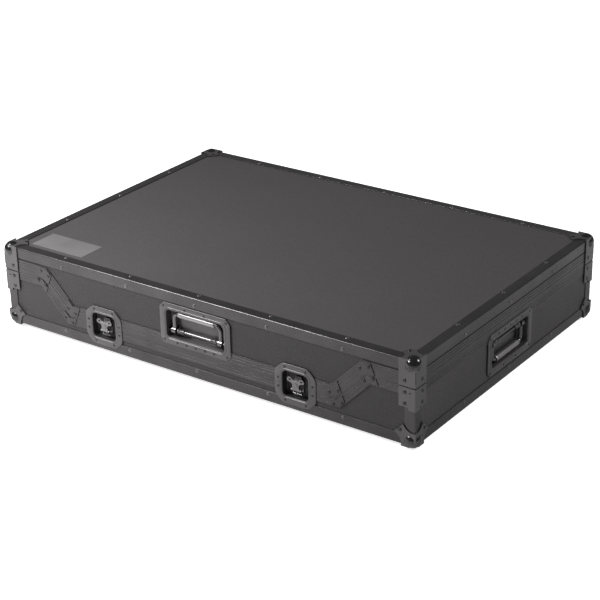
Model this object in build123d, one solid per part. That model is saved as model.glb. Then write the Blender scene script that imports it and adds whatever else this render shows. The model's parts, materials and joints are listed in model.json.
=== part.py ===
from build123d import *
import os
from math import cos, radians, sin, tan

# A low equipment flight case: plywood panels in metal edge angles, with a lift-off lid, a stepped
# front parting line, four recessed butterfly latches and three recessed sprung handles.
# Millimetres, +X along the width, -Y the front, +Z up. The origin is under the middle of the
# case, on the surface that its rubber feet stand on.

# Width and depth over the metal edges
WIDTH = 880.0
DEPTH = 610.0

# Panels and edge angles
SKIN = 1.5
PLY = 9.0
LEG = 20.0
EDGE_RADIUS = 2.2
CORNER_FREE = 22.0
SEAT = 0.2

# Parting line. At the front it drops between the two bends on each side.
STEP_FROM_END = 90.5
STEP_ANGLE = 45.0
SPLIT_GAP = 0.3

# Tongue and groove rims, across the wall and along it from the parting line
LID_BAND = 24.0
BASE_BAND = 16.0
LID_WEB = 6.0
BASE_WEB = 3.0
LID_LIP = 16.0
BASE_LIP = 13.0
TONGUE_THICK = 2.4
TONGUE_TALL = 3.5
TONGUE_PLACE = 6.0
TONGUE_PLAY = 0.4
RIB_WIDTH = 1.4
RIB_DEPTH = 0.4
LID_RIBS = (8.5, 15.0, 20.0)
BASE_RIBS = (5.0, 10.5)

# Corner fittings
FITTING_SKIN = 2.0
FITTING_ROUND = 1.6
BALL_RADIUS = 14.5
BALL_INSET = 9.0
LEAF_ROOT = 25.0
LEAF_WAIST = 15.5
LEAF_TIP_FAR = 38.0
LEAF_TIP_NEAR = 21.0
LID_LEG_WIDTH = 30.0
LID_LEG_LENGTH = 46.0
BRACE_WIDTH = 30.0
LEG_ABOVE_SPLIT = 0.9
BRACE_BELOW_SPLIT = 1.3
BRACE_LENGTH = 39.7
BRACE_STEP = (12.0, 5.0)

# Joint plates over the bends of the front rims
JOINT_SKIN = 1.2
JOINT_HALF = 15.0
JOINT_MARGIN = 2.0
JOINT_RIVET = 9.0

# Rivets
RIVET_RADIUS = 3.8
RIVET_HEIGHT = 1.3
RIVET_SIDES = 8
RIVET_PITCH = 151.4
RIVET_FROM_EDGE = 14.5
LEAF_RIVET = 27.0
BRACE_RIVET_IN = 18.8
BRACE_RIVETS = (8.3, 28.3)
LID_LEG_RIVET = 35.8

# Recessed butterfly latches
LATCH_FROM_BEND = 80.9
LATCH_PLATE = (83.0, 74.0)
LATCH_CORNER = 15.0
LATCH_CORNER_ROUND = 5.0
LATCH_DISH = (53.0, 47.0)
LATCH_DISH_ROUND = 14.0
LATCH_DEPTH = 12.5
PLATE_SKIN = 1.4
DISH_WALL = 1.2
DISH_CHAMFER = 2.0
FIT = 0.3

# Latch mechanism, as depths behind the metal face and heights over the parting line
TONGUE_PLATE = (18.0, 2.0)
TONGUE_PLATE_RANGE = (-16.0, 6.0)
CAM_RADIUS = 8.0
CAM_THICK = 3.4
CAM_PIN_RADIUS = 2.0
PIN_PLAY = 0.1
HOOK_WIDTH = 13.0
HOOK_THICK = 1.8
HOOK_RANGE = (-11.0, 14.0)
HOOK_TRAVEL = 6.0
KEEPER = (12.0, 3.0)
KEEPER_HEIGHT = 8.5
EAR_GAP = 9.0
EAR_THICK = 2.0
WING_PIN_RADIUS = 1.0
WING_PIVOT = -8.5
WING_KNUCKLE = 2.2
WING_THICK = 1.8
WING_TOP = 12.4
WING_HALF = 18.0
WING_NECK = 7.0
WING_SHOULDER = 3.0
WING_HOLE = 2.6

# Recessed handles
HANDLE_PLATE = (152.0, 78.0)
HANDLE_CORNER = 9.0
HANDLE_DISH = (125.0, 52.0)
HANDLE_DISH_ROUND = 9.0
HANDLE_DEPTH = 14.0
HANDLE_PIVOT = -14.0
HANDLE_ARM = 32.0
HANDLE_AXIS_DEPTH = 7.0
BAIL_HALF = 50.0
BAIL_RADIUS = 4.0
BAIL_BEND = 10.0
BEND_STEPS = 3
EYE_RADIUS = 6.2
EYE_LENGTH = 9.0
PIVOT_RADIUS = 2.5
GRIP_RADIUS = 6.0
GRIP_LENGTH = 78.0
GRIP_PLAY = 0.05

# Foam lining
RAIL_THICK = 20.0
RAIL_BELOW_SPLIT = 11.1
FRONT_RAIL_BELOW_SPLIT = 6.1
FLOOR_FOAM = 20.0
LID_FOAM = 15.0

# Rubber feet under the floor panel
FOOT_HEIGHT = 9.5
FOOT_RADIUS = 19.0
FOOT_TOP_RADIUS = 21.0
FOOT_INSET = 62.0

# Clearances between the fittings up the walls
SIDE_HANDLE_CLEAR = 4.4
SPLIT_CLEAR = 3.2
LID_STRIP = 2.9
WELL_CLEAR = 2.1
HANDLE_CLEAR = 1.5

# Heights over the underside of the case
SIDE_HANDLE_HEIGHT = LEG + SIDE_HANDLE_CLEAR + HANDLE_PLATE[1] / 2
SPLIT_HEIGHT = SIDE_HANDLE_HEIGHT + HANDLE_PLATE[1] / 2 + SPLIT_CLEAR
SPLIT_HEIGHT_FRONT = LEG + LATCH_DISH[1] / 2 + WELL_CLEAR
STEP_DROP = SPLIT_HEIGHT - SPLIT_HEIGHT_FRONT
HEIGHT = SPLIT_HEIGHT + LID_BAND + LID_STRIP + LEG
FRONT_HANDLE_HEIGHT = HEIGHT - LEG - HANDLE_CLEAR - HANDLE_PLATE[1] / 2
BRACE_TOP = HEIGHT - LID_LEG_LENGTH - LEG_ABOVE_SPLIT - BRACE_BELOW_SPLIT

X_OUT = WIDTH / 2
Y_OUT = DEPTH / 2
STEP_X = X_OUT - STEP_FROM_END
LATCH_X = STEP_X - STEP_DROP / tan(radians(STEP_ANGLE)) - LATCH_FROM_BEND
X_PLY = X_OUT - SKIN
Y_PLY = Y_OUT - SKIN
X_IN = X_PLY - PLY
Y_IN = Y_PLY - PLY
RIM_DEPTH = PLY + 2 * SKIN
Z_LOW = FOOT_HEIGHT - SKIN
Z_TOP = Z_LOW + HEIGHT
Z_FLOOR = Z_LOW + SKIN + PLY
Z_ROOF = Z_TOP - SKIN - PLY
Z_SPLIT = Z_LOW + SPLIT_HEIGHT
Z_SPLIT_FRONT = Z_LOW + SPLIT_HEIGHT_FRONT
LINING_INSET = max(LATCH_DEPTH, HANDLE_DEPTH) + DISH_WALL + FIT

parts = {}


def span(low, high):
    """A box between two opposite corners."""
    size = [b - a for a, b in zip(low, high)]
    middle = [(a + b) / 2 for a, b in zip(low, high)]
    return Pos(*middle) * Box(*size)


def on_face(face, along, height):
    """The place of a fitting drawn facing the front: -Y outwards, its origin on the metal face."""
    turn, x, y = {
        "front": (0, along, -Y_OUT),
        "back": (180, along, Y_OUT),
        "left": (-90, -X_OUT, along),
        "right": (90, X_OUT, along),
    }[face]
    return Pos(x, y, height) * Rot(0, 0, turn)


def plate(outline, front, back):
    """A flat outline in X and Z, as thick as from depth front to depth back."""
    face = make_face(Plane.XZ * outline)
    return Pos(0, back, 0) * extrude(face, back - front, dir=(0, -1, 0))


def sketch_plate(sketch, front, back):
    """The same for a sketch."""
    return Pos(0, back, 0) * extrude(Plane.XZ * sketch, back - front, dir=(0, -1, 0))


def step_points(offset):
    """The front parting line, moved up by offset square to itself, from left to right."""
    outer = STEP_X - offset * tan(radians(STEP_ANGLE / 2))
    inner = outer - STEP_DROP / tan(radians(STEP_ANGLE))
    high = Z_SPLIT + offset
    low = Z_SPLIT_FRONT + offset
    right = [(inner, low), (outer, high), (X_OUT, high)]
    left = [(-x, z) for x, z in reversed(right)]
    return left + right


def front_bar(shallow, deep, bottom, top, reach=X_OUT):
    """A bar along the stepped front parting line, between two depths and two offsets from it."""
    outline = Polyline(*step_points(bottom), *reversed(step_points(top)), close=True)
    bar = Pos(0, -Y_OUT, 0) * plate(outline, shallow, deep)
    if reach == X_OUT:
        return bar
    return bar & span((-reach, -DEPTH, 0), (reach, DEPTH, Z_TOP))


def joint_frames(offset):
    """A frame at each bend of the front rims, X along the mean run and Z square to it."""
    places = []
    for x, z in step_points(offset):
        if abs(x) < X_OUT:
            lean = STEP_ANGLE / 2 * (1 if x < 0 else -1)
            places.append(Pos(x, -Y_OUT, z) * Rot(0, lean, 0))
    return places


def joint_plates(bottom, top):
    """A thin plate over each bend of a front rim, between two offsets from the parting line."""
    bar = front_bar(-JOINT_SKIN, 0, bottom, top)
    window = span((-JOINT_HALF, -LEG, -2 * LID_BAND), (JOINT_HALF, LEG, 2 * LID_BAND))
    return [bar & (frame * window) for frame in joint_frames((bottom + top) / 2)]


def joint_rivets(offset):
    """Two rivets through each joint plate."""
    places = [Pos(side * JOINT_RIVET, -JOINT_SKIN, 0) for side in (-1, 1)]
    return [frame * place * rivet() for frame in joint_frames(offset) for place in places]


def straight_bar(length, shallow, deep, bottom, top):
    """The same along a straight parting line, drawn facing the front."""
    return span((-length / 2, shallow, bottom), (length / 2, deep, top))


def rim(half, bar, lip_reach, tongue_reach):
    """One rim of the lid or base, from its outer leg, web, inner lip and tongue or groove."""
    outer = (0, SKIN)
    inner = (RIM_DEPTH - SKIN, RIM_DEPTH)
    play = TONGUE_PLAY if half == "lid" else 0
    thick = TONGUE_THICK / 2 + play
    tongue = (TONGUE_PLACE - thick, TONGUE_PLACE + thick)
    if half == "lid":
        body = bar(*outer, 0, LID_BAND) + bar(0, RIM_DEPTH, 0, LID_WEB)
        body += bar(*inner, 0, LID_LIP, lip_reach)
        body -= bar(*tongue, 0, TONGUE_TALL + TONGUE_PLAY, tongue_reach + TONGUE_PLAY)
        ribs = LID_RIBS
    else:
        top = -SPLIT_GAP
        body = bar(*outer, -BASE_BAND, top) + bar(0, RIM_DEPTH, top - BASE_WEB, top)
        body += bar(*inner, -BASE_LIP, top, lip_reach)
        body += bar(*tongue, top, TONGUE_TALL + top, tongue_reach)
        ribs = [-height for height in BASE_RIBS]
    for height in ribs:
        body -= bar(0, RIB_DEPTH, height - RIB_WIDTH / 2, height + RIB_WIDTH / 2)
    return body


def straight_rim(half, face):
    """A rim of the back or of an end. The end rims butt against the front and back rims."""
    along_back = face == "back"
    length = WIDTH if along_back else DEPTH - 2 * RIM_DEPTH
    lip = X_IN if along_back else length / 2

    def bar(shallow, deep, bottom, top, reach=length / 2):
        return straight_bar(2 * reach, shallow, deep, bottom, top)

    tongue = (X_OUT if along_back else length / 2) - RIM_DEPTH
    return on_face(face, 0, Z_SPLIT) * rim(half, bar, lip, tongue)


def edge_angle(length):
    """An L of the two legs along X, its outer corner at the origin, legs to +Y and +Z."""
    outline = Polyline((0, 0), (LEG, 0), (LEG, SKIN), (SKIN, SKIN), (SKIN, LEG), (0, LEG), close=True)
    face = make_face(outline)
    corner = face.vertices().sort_by(lambda v: v.X + v.Y)[0]
    return extrude(Plane.YZ * fillet(corner, EDGE_RADIUS), length / 2, both=True)


def edge_set(height, flip):
    """The four edge angles round the top or bottom of the case, clear of its corners."""
    angles = []
    for face in ("front", "back", "left", "right"):
        full = WIDTH if face in ("front", "back") else DEPTH
        angle = edge_angle(full - 2 * CORNER_FREE)
        if flip:
            angle = mirror(angle, Plane.XY)
        angles.append(on_face(face, 0, height) * angle)
    return angles


def corners():
    """The four corners of the case as a place and a turn about Z."""
    places = [(-X_OUT, -Y_OUT), (X_OUT, -Y_OUT), (X_OUT, Y_OUT), (-X_OUT, Y_OUT)]
    return [(x, y, 90 * turn) for turn, (x, y) in enumerate(places)]


def leaf():
    """One flared leaf of a ball corner, on the XY face of a corner at the origin."""
    out = -FITTING_SKIN
    side = ThreePointArc((out, LEAF_ROOT), (LEAF_WAIST * 0.6, LEAF_WAIST * 1.7), (LEAF_TIP_NEAR, LEAF_TIP_FAR))
    blade = Line((LEAF_TIP_NEAR, LEAF_TIP_FAR), (LEAF_TIP_FAR, LEAF_TIP_NEAR))
    other = ThreePointArc((LEAF_TIP_FAR, LEAF_TIP_NEAR), (LEAF_WAIST * 1.7, LEAF_WAIST * 0.6), (LEAF_ROOT, out))
    back = Polyline((LEAF_ROOT, out), (out, out), (out, LEAF_ROOT))
    return Pos(0, 0, out) * extrude(make_face(side + blade + other + back), FITTING_SKIN)


def ball(plates):
    """Adds the ball to a corner's plates, opened at the corner, and frees the panels' space."""
    low = -2 * FITTING_SKIN
    plates -= span((low, low, low), (BALL_INSET, BALL_INSET, BALL_INSET))
    plates += Pos(BALL_INSET, BALL_INSET, BALL_INSET) * Sphere(BALL_RADIUS)
    deep = 2 * LID_LEG_LENGTH
    return plates - span((SKIN, SKIN, SKIN), (deep, deep, deep))


def base_ball_corner():
    """Three leaves round a ball, for the corner whose case lies at +X, +Y and +Z."""
    diagonal = Axis((0, 0, 0), (1, 1, 1))
    plates = leaf() + leaf().rotate(diagonal, 120) + leaf().rotate(diagonal, 240)
    return ball(plates)


def lid_ball_corner():
    """A leaf on top and two long legs down the faces, drawn as if the lid's top were at -Z."""
    out = -FITTING_SKIN
    leg = span((out, out, out), (LID_LEG_WIDTH, 0, LID_LEG_LENGTH))
    other = span((out, out, out), (0, LID_LEG_WIDTH, LID_LEG_LENGTH))
    fitting = leg + other
    upright = fitting.edges().filter_by(Axis.Z).sort_by(lambda e: e.center().X + e.center().Y)[0]
    fitting = fillet(upright, FITTING_ROUND)
    return ball(fitting + leaf())


def corner_brace():
    """An angle plate over the base's upright corner edge, legs to +X and +Y."""
    out = -FITTING_SKIN
    wide = BRACE_WIDTH
    outline = Polyline((out, out), (wide, out), (wide, 0), (0, 0), (0, wide), (out, wide), close=True)
    face = make_face(outline)
    corner = face.vertices().sort_by(lambda v: v.X + v.Y)[0]
    brace = extrude(fillet(corner, FITTING_ROUND), BRACE_LENGTH)
    near, short = BRACE_STEP
    brace -= span((near, 2 * out, 0), (2 * wide, 0, short))
    return brace - span((2 * out, near, 0), (0, 2 * wide, short))


def corner_post():
    """The angle up the base's corner, between the ball corner and the rim."""
    length = SPLIT_HEIGHT - BASE_BAND - CORNER_FREE - SEAT
    upright = edge_angle(length).rotate(Axis.Y, -90)
    return mirror(Pos(0, 0, length / 2) * upright, Plane.YZ)


def dish(size, corner, depth, outline):
    """A pressed dish: a face plate of the given sketch with a rounded well behind it."""
    width, height = size
    shell = RectangleRounded(width + 2 * DISH_WALL, height + 2 * DISH_WALL, corner + DISH_WALL)
    well = sketch_plate(RectangleRounded(width, height, corner), -2 * PLATE_SKIN, depth)
    floor = well.faces().sort_by(Axis.Y)[-1]
    well = chamfer(floor.edges(), DISH_CHAMFER)
    return sketch_plate(outline, -PLATE_SKIN, 0) + sketch_plate(shell, 0, depth + DISH_WALL) - well


def backing(outline, size, corner, low, high):
    """Fills the step between a face plate and the panel, between two heights, round the well."""
    width, height = size
    hole = RectangleRounded(width + DISH_WALL, height + DISH_WALL, corner)
    strip = sketch_plate(outline - hole, 0, SKIN)
    return strip & span((-WIDTH, -SKIN, low), (WIDTH, 2 * SKIN, high))


def latch_outline():
    """The latch's face plate: an octagon with rounded corners."""
    shape = chamfer(Rectangle(*LATCH_PLATE).vertices(), LATCH_CORNER)
    return fillet(shape.vertices(), LATCH_CORNER_ROUND)


def latch_dishes(split_height):
    """The lid half and base half of a latch dish, in the latch's own frame."""
    outline = latch_outline()
    reach = LATCH_PLATE[1] / 2
    whole = dish(LATCH_DISH, LATCH_DISH_ROUND, LATCH_DEPTH, outline)
    lid_end = min(reach, HEIGHT - LEG - split_height - SEAT)
    base_end = max(-reach, LEG - split_height + SEAT)
    fill = (outline, LATCH_DISH, LATCH_DISH_ROUND)
    lid = whole & span((-WIDTH, -DEPTH, 0), (WIDTH, DEPTH, HEIGHT))
    if lid_end > LID_BAND + LEG / 2:
        lid += backing(*fill, LID_BAND + SEAT, lid_end)
    base = whole & span((-WIDTH, -DEPTH, -HEIGHT), (WIDTH, DEPTH, -SPLIT_GAP))
    if base_end < -BASE_BAND - SEAT:
        base += backing(*fill, base_end, -BASE_BAND - SEAT)
    return lid, base


def latch_bearer():
    """The plate at the bottom of the dish that carries the cam on its centre pin."""
    wide, thick = TONGUE_PLATE
    low, high = TONGUE_PLATE_RANGE
    back = LATCH_DEPTH - FIT
    bearer = span((-wide / 2, HOOK_BACK + FIT, low), (wide / 2, back, high))
    bearer += span((-wide / 2, HOOK_BACK + FIT, low), (wide / 2, LATCH_DEPTH, -SPLIT_GAP))
    return bearer + turned_rod(CAM_PIN_RADIUS, CAM_FRONT, HOOK_BACK + FIT, 0)


def latch_keeper():
    """The bar in the lid's half of the dish that the hook stands over."""
    wide, tall = KEEPER
    return span((-wide / 2, HOOK_BACK + FIT, KEEPER_HEIGHT), (wide / 2, LATCH_DEPTH, KEEPER_HEIGHT + tall))


def turned_rod(radius, front, back, height):
    """A round bar along Y between two depths."""
    return Pos(0, (front + back) / 2, height) * Rot(90, 0, 0) * Cylinder(radius, back - front)


def cross_rod(radius, length, depth, height):
    """A round bar along X."""
    return Pos(0, depth, height) * Rot(0, 90, 0) * Cylinder(radius, length)


HOOK_BACK = LATCH_DEPTH - 2 * FIT - TONGUE_PLATE[1]
CAM_BACK = HOOK_BACK - HOOK_THICK - FIT
CAM_FRONT = CAM_BACK - CAM_THICK
WING_AXIS_DEPTH = CAM_FRONT - FIT - WING_KNUCKLE


def latch_hook():
    """The plate that the cam lifts, slotted for the cam's pin."""
    low, high = HOOK_RANGE
    hook = span((-HOOK_WIDTH / 2, HOOK_BACK - HOOK_THICK, low), (HOOK_WIDTH / 2, HOOK_BACK, high))
    slot = SlotOverall(HOOK_TRAVEL + 2 * CAM_PIN_RADIUS + 4 * FIT, 2 * CAM_PIN_RADIUS + 2 * FIT, 90)
    slot = Pos(0, -HOOK_TRAVEL / 2) * slot
    return hook - sketch_plate(slot, 0, LATCH_DEPTH)


def latch_cam():
    """The turning boss with two ears and the wing's cross pin."""
    cam = turned_rod(CAM_RADIUS, CAM_FRONT, CAM_BACK, 0)
    pin_play = CAM_PIN_RADIUS + PIN_PLAY
    ear_low = WING_PIVOT - WING_KNUCKLE
    ear_high = WING_PIVOT + WING_KNUCKLE
    for side in (-1, 1):
        middle = side * (EAR_GAP - EAR_THICK) / 2
        near, far = middle - EAR_THICK / 2, middle + EAR_THICK / 2
        cam += span((near, WING_AXIS_DEPTH, ear_low), (far, CAM_BACK, ear_high))
        cam += Pos(middle, 0, 0) * cross_rod(WING_KNUCKLE, EAR_THICK, WING_AXIS_DEPTH, WING_PIVOT)
    cam -= turned_rod(pin_play, 0, LATCH_DEPTH, 0)
    return cam + cross_rod(WING_PIN_RADIUS, EAR_GAP, WING_AXIS_DEPTH, WING_PIVOT)


def wing_outline():
    """The wing seen from the front: two rounded ears over a narrowing stem."""
    side = [
        (WING_NECK, WING_SHOULDER - 5),
        (WING_HALF, WING_SHOULDER + 2),
        (WING_HALF - 2, WING_TOP),
        (WING_HALF * 0.45, WING_TOP),
        (WING_HALF * 0.3, WING_TOP - 3.5),
    ]
    stem = WING_PIVOT + WING_KNUCKLE + FIT
    start = [(WING_NECK * 0.55, stem)]
    right = start + side
    left = [(-x, z) for x, z in reversed(right)]
    shape = make_face(Polyline(*right, *left, close=True))
    wide = [v for v in shape.vertices() if abs(v.X) > WING_HALF - 3]
    return fillet(wide, 1.8)


def latch_wing():
    """The folding wing, its knuckle on the cam's cross pin."""
    thick_front = WING_AXIS_DEPTH - WING_KNUCKLE
    wing = sketch_plate(wing_outline(), thick_front, thick_front + WING_THICK)
    inner = EAR_GAP - 2 * EAR_THICK - 2 * FIT
    root = (WING_AXIS_DEPTH - WING_KNUCKLE, WING_PIVOT)
    wing += span((-inner / 2, root[0], root[1]), (inner / 2, root[0] + WING_THICK, 0))
    wing += cross_rod(WING_KNUCKLE, inner, WING_AXIS_DEPTH, WING_PIVOT)
    wing -= cross_rod(WING_PIN_RADIUS + PIN_PLAY, EAR_GAP, WING_AXIS_DEPTH, WING_PIVOT)
    for side in (-1, 1):
        hole = Pos(side * WING_HALF * 0.6, 0, WING_TOP - 4.2)
        wing -= hole * turned_rod(WING_HOLE, 0, LATCH_DEPTH, 0)
    return wing


def handle_outline():
    """The handle's face plate, a rectangle with cut corners."""
    shape = chamfer(Rectangle(*HANDLE_PLATE).vertices(), HANDLE_CORNER)
    return fillet(shape.vertices(), LATCH_CORNER_ROUND)


def handle_dish(low, high):
    """The handle's dish and face plate, backed between two heights round its centre."""
    outline = handle_outline()
    whole = dish(HANDLE_DISH, HANDLE_DISH_ROUND, HANDLE_DEPTH, outline)
    return whole + backing(outline, HANDLE_DISH, HANDLE_DISH_ROUND, low, high)


def bail():
    """A bent rod with an eye at each end, its grip up, in the handle's frame."""
    grip = HANDLE_PIVOT + HANDLE_ARM
    centre = BAIL_HALF - BAIL_BEND
    turns = [radians(90 * step / BEND_STEPS) for step in range(BEND_STEPS + 1)]
    bend = [(centre + BAIL_BEND * cos(turn), grip - BAIL_BEND * (1 - sin(turn))) for turn in turns]
    right = [(BAIL_HALF, HANDLE_PIVOT), *bend]
    left = [(-x, z) for x, z in right]
    path = Plane.XZ.offset(-HANDLE_AXIS_DEPTH) * Polyline(*left, *reversed(right))
    start = Plane(path @ 0, z_dir=path % 0)
    rod = sweep(start * Circle(BAIL_RADIUS), path, transition=Transition.RIGHT)
    for side in (-1, 1):
        rod += Pos(side * BAIL_HALF, 0, 0) * cross_rod(EYE_RADIUS, EYE_LENGTH, HANDLE_AXIS_DEPTH, HANDLE_PIVOT)
    bore = cross_rod(PIVOT_RADIUS + PIN_PLAY, HANDLE_DISH[0], HANDLE_AXIS_DEPTH, HANDLE_PIVOT)
    return rod - bore


def handle_grip():
    """The sleeve on the bail's straight top."""
    height = HANDLE_PIVOT + HANDLE_ARM
    sleeve = cross_rod(GRIP_RADIUS, GRIP_LENGTH, HANDLE_AXIS_DEPTH, height)
    return sleeve - cross_rod(BAIL_RADIUS + GRIP_PLAY, WIDTH, HANDLE_AXIS_DEPTH, height)


def handle_pivot():
    """The rod across the dish that the bail turns on."""
    return cross_rod(PIVOT_RADIUS, HANDLE_DISH[0] - SEAT, HANDLE_AXIS_DEPTH, HANDLE_PIVOT)


def rivet():
    """A low-faceted rivet head, drawn facing the front."""
    profile = RegularPolygon(RIVET_RADIUS, RIVET_SIDES)
    return extrude(Plane.XZ * profile, RIVET_HEIGHT, taper=35)


def leg_rivets(face, height):
    """Rivets through one upright leg of an edge angle."""
    count = 2 if face in ("front", "back") else 1
    steps = range(-count, count + 1)
    return [on_face(face, step * RIVET_PITCH, height) * rivet() for step in steps]


def flat_rivets(face, height, up):
    """Rivets through one flat leg of an edge angle, on the top or the underside."""
    count = 2 if face in ("front", "back") else 1
    tilt = Rot(-90 if up else 90, 0, 0)
    heads = []
    for step in range(-count, count + 1):
        place = on_face(face, step * RIVET_PITCH, height) * Pos(0, RIVET_FROM_EDGE, 0)
        heads.append(place * tilt * rivet())
    return heads


def corner_rivets(heights, inward):
    """Rivets through both legs of the fittings up the four corners."""
    heads = []
    proud = Pos(0, -FITTING_SKIN, 0)
    for height in heights:
        for side in (-1, 1):
            for face, half in (("front", X_OUT), ("back", X_OUT), ("left", Y_OUT), ("right", Y_OUT)):
                heads.append(on_face(face, side * (half - inward), Z_LOW + height) * proud * rivet())
    return heads


def leaf_rivets(height, up):
    """Rivets through the flat leaves of the four ball corners."""
    tilt = Rot(-90 if up else 90, 0, 0)
    heads = []
    for side in (-1, 1):
        for face in ("front", "back"):
            place = on_face(face, side * (X_OUT - LEAF_RIVET), height) * Pos(0, LEAF_RIVET, 0)
            heads.append(place * tilt * rivet())
    return heads


def cut_for_dish(place, size):
    """The hole that a dish needs through a wall."""
    grow = DISH_WALL + FIT
    half_x = size[0] / 2 + grow
    half_z = size[1] / 2 + grow
    return place * span((-half_x, -2 * SKIN, -half_z), (half_x, LEG, half_z))


LATCHES = {
    "front_left": ("front", -LATCH_X, Z_SPLIT_FRONT),
    "front_right": ("front", LATCH_X, Z_SPLIT_FRONT),
    "back_left": ("back", -LATCH_X, Z_SPLIT),
    "back_right": ("back", LATCH_X, Z_SPLIT),
}
latch_places = {name: on_face(*where) for name, where in LATCHES.items()}
front_handle_place = on_face("front", 0, Z_LOW + FRONT_HANDLE_HEIGHT)
flip = Rot(0, 180, 0)
side_places = {side: on_face(side, 0, Z_LOW + SIDE_HANDLE_HEIGHT) for side in ("left", "right")}

latch_cuts = [cut_for_dish(place, LATCH_DISH) for place in latch_places.values()]
front_handle_cut = cut_for_dish(front_handle_place, HANDLE_DISH)
side_cuts = {side: cut_for_dish(place, HANDLE_DISH) for side, place in side_places.items()}


def cut(body, *cutters):
    """Takes away each cutter in turn."""
    for cutter in cutters:
        body -= cutter
    return body


def build_panels():
    """The ten plywood panels, notched for the dishes and held in the rims' channels."""
    front_latches = latch_cuts[:2]
    back_latches = latch_cuts[2:]
    parts["base_floor_panel"] = span((-X_PLY, -Y_PLY, Z_LOW + SKIN), (X_PLY, Y_PLY, Z_FLOOR))
    parts["lid_top_panel"] = span((-X_PLY, -Y_PLY, Z_ROOF), (X_PLY, Y_PLY, Z_TOP - SKIN))
    ply = (SKIN, SKIN + PLY)
    trim = span((-X_PLY, -DEPTH, 0), (X_PLY, DEPTH, 2 * Z_TOP))
    line = step_points(-SPLIT_GAP - BASE_WEB)
    outline = Polyline(*line, (X_OUT, Z_FLOOR), (-X_OUT, Z_FLOOR), close=True)
    wall = (Pos(0, -Y_OUT, 0) * plate(outline, *ply)) & trim
    parts["base_front_panel"] = cut(wall, *front_latches)
    line = step_points(LID_WEB)
    outline = Polyline(*line, (X_OUT, Z_ROOF), (-X_OUT, Z_ROOF), close=True)
    wall = (Pos(0, -Y_OUT, 0) * plate(outline, *ply)) & trim
    parts["lid_front_panel"] = cut(wall, *front_latches, front_handle_cut)
    base_top = Z_SPLIT - SPLIT_GAP - BASE_WEB
    lid_low = Z_SPLIT + LID_WEB
    back_base = span((-X_PLY, Y_IN, Z_FLOOR), (X_PLY, Y_PLY, base_top))
    back_lid = span((-X_PLY, Y_IN, lid_low), (X_PLY, Y_PLY, Z_ROOF))
    parts["base_back_panel"] = cut(back_base, *back_latches)
    parts["lid_back_panel"] = cut(back_lid, *back_latches)
    for side, sign in (("left", -1), ("right", 1)):
        near, far = sorted((sign * X_IN, sign * X_PLY))
        wall = span((near, -Y_IN, Z_FLOOR), (far, Y_IN, base_top))
        parts[f"base_{side}_panel"] = wall - side_cuts[side]
        parts[f"lid_{side}_panel"] = span((near, -Y_IN, lid_low), (far, Y_IN, Z_ROOF))


def build_metalwork():
    """Edge angles, posts, rims and corner fittings."""
    parts["bottom_edge_angles"] = Compound(children=edge_set(Z_LOW, False))
    parts["top_edge_angles"] = Compound(children=edge_set(Z_TOP, True))
    post = Pos(0, 0, Z_LOW + CORNER_FREE) * corner_post()
    brace = Pos(0, 0, Z_LOW + BRACE_TOP - BRACE_LENGTH) * corner_brace()
    low_ball = Pos(0, 0, Z_LOW) * base_ball_corner()
    high_ball = Pos(0, 0, Z_TOP) * mirror(lid_ball_corner(), Plane.XY)
    fittings = {
        "corner_posts": post,
        "base_corner_braces": brace,
        "base_ball_corners": low_ball,
        "lid_ball_corners": high_ball,
    }
    for name, fitting in fittings.items():
        copies = [Pos(x, y, 0) * Rot(0, 0, turn) * fitting for x, y, turn in corners()]
        parts[name] = Compound(children=copies)
    for half in ("base", "lid"):
        front = rim(half, front_bar, X_IN, X_OUT - RIM_DEPTH)
        latches = latch_cuts[:2] + ([front_handle_cut] if half == "lid" else [])
        parts[f"{half}_front_rim"] = cut(front, *latches)
        parts[f"{half}_back_rim"] = cut(straight_rim(half, "back"), *latch_cuts[2:])
        low, high = (0, LID_BAND) if half == "lid" else (-BASE_BAND, -SPLIT_GAP)
        plates = joint_plates(low + JOINT_MARGIN, high - JOINT_MARGIN)
        parts[f"{half}_joint_plates"] = Compound(children=plates)
        for side in ("left", "right"):
            end = straight_rim(half, side)
            if half == "base":
                end -= side_cuts[side]
            parts[f"{half}_{side}_rim"] = end


def build_latches():
    """The four latches: dish halves on lid and base, and three moving pieces each."""
    lids = []
    bases = []
    bearers = []
    keepers = []
    for name, place in latch_places.items():
        split = SPLIT_HEIGHT_FRONT if name.startswith("front") else SPLIT_HEIGHT
        lid, base = latch_dishes(split)
        lids.append(place * lid)
        bases.append(place * base)
        bearers.append(place * latch_bearer())
        keepers.append(place * latch_keeper())
        parts[f"{name}_latch_cam"] = place * latch_cam()
        parts[f"{name}_latch_wing"] = place * latch_wing()
        parts[f"{name}_latch_hook"] = place * latch_hook()
    parts["latch_lid_dishes"] = Compound(children=lids)
    parts["latch_base_dishes"] = Compound(children=bases)
    parts["latch_bearers"] = Compound(children=bearers)
    parts["latch_keepers"] = Compound(children=keepers)


def build_handles():
    """The lid's front handle, grip up, and the base's two end handles, grip down."""
    reach = HANDLE_PLATE[1] / 2
    rim_top = SPLIT_HEIGHT_FRONT + LID_BAND - FRONT_HANDLE_HEIGHT
    parts["front_handle_dish"] = front_handle_place * handle_dish(rim_top + SEAT, reach)
    parts["front_handle_pivot"] = front_handle_place * handle_pivot()
    parts["front_handle_bail"] = front_handle_place * bail()
    parts["front_handle_grip"] = front_handle_place * handle_grip()
    rim_low = SPLIT_HEIGHT - BASE_BAND - SIDE_HANDLE_HEIGHT
    dishes = []
    pivots = []
    for side, place in side_places.items():
        dishes.append(place * handle_dish(-reach, rim_low - SEAT))
        pivots.append(place * flip * handle_pivot())
        parts[f"{side}_handle_bail"] = place * flip * bail()
        parts[f"{side}_handle_grip"] = place * flip * handle_grip()
    parts["side_handle_dishes"] = Compound(children=dishes)
    parts["side_handle_pivots"] = Compound(children=pivots)


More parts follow.
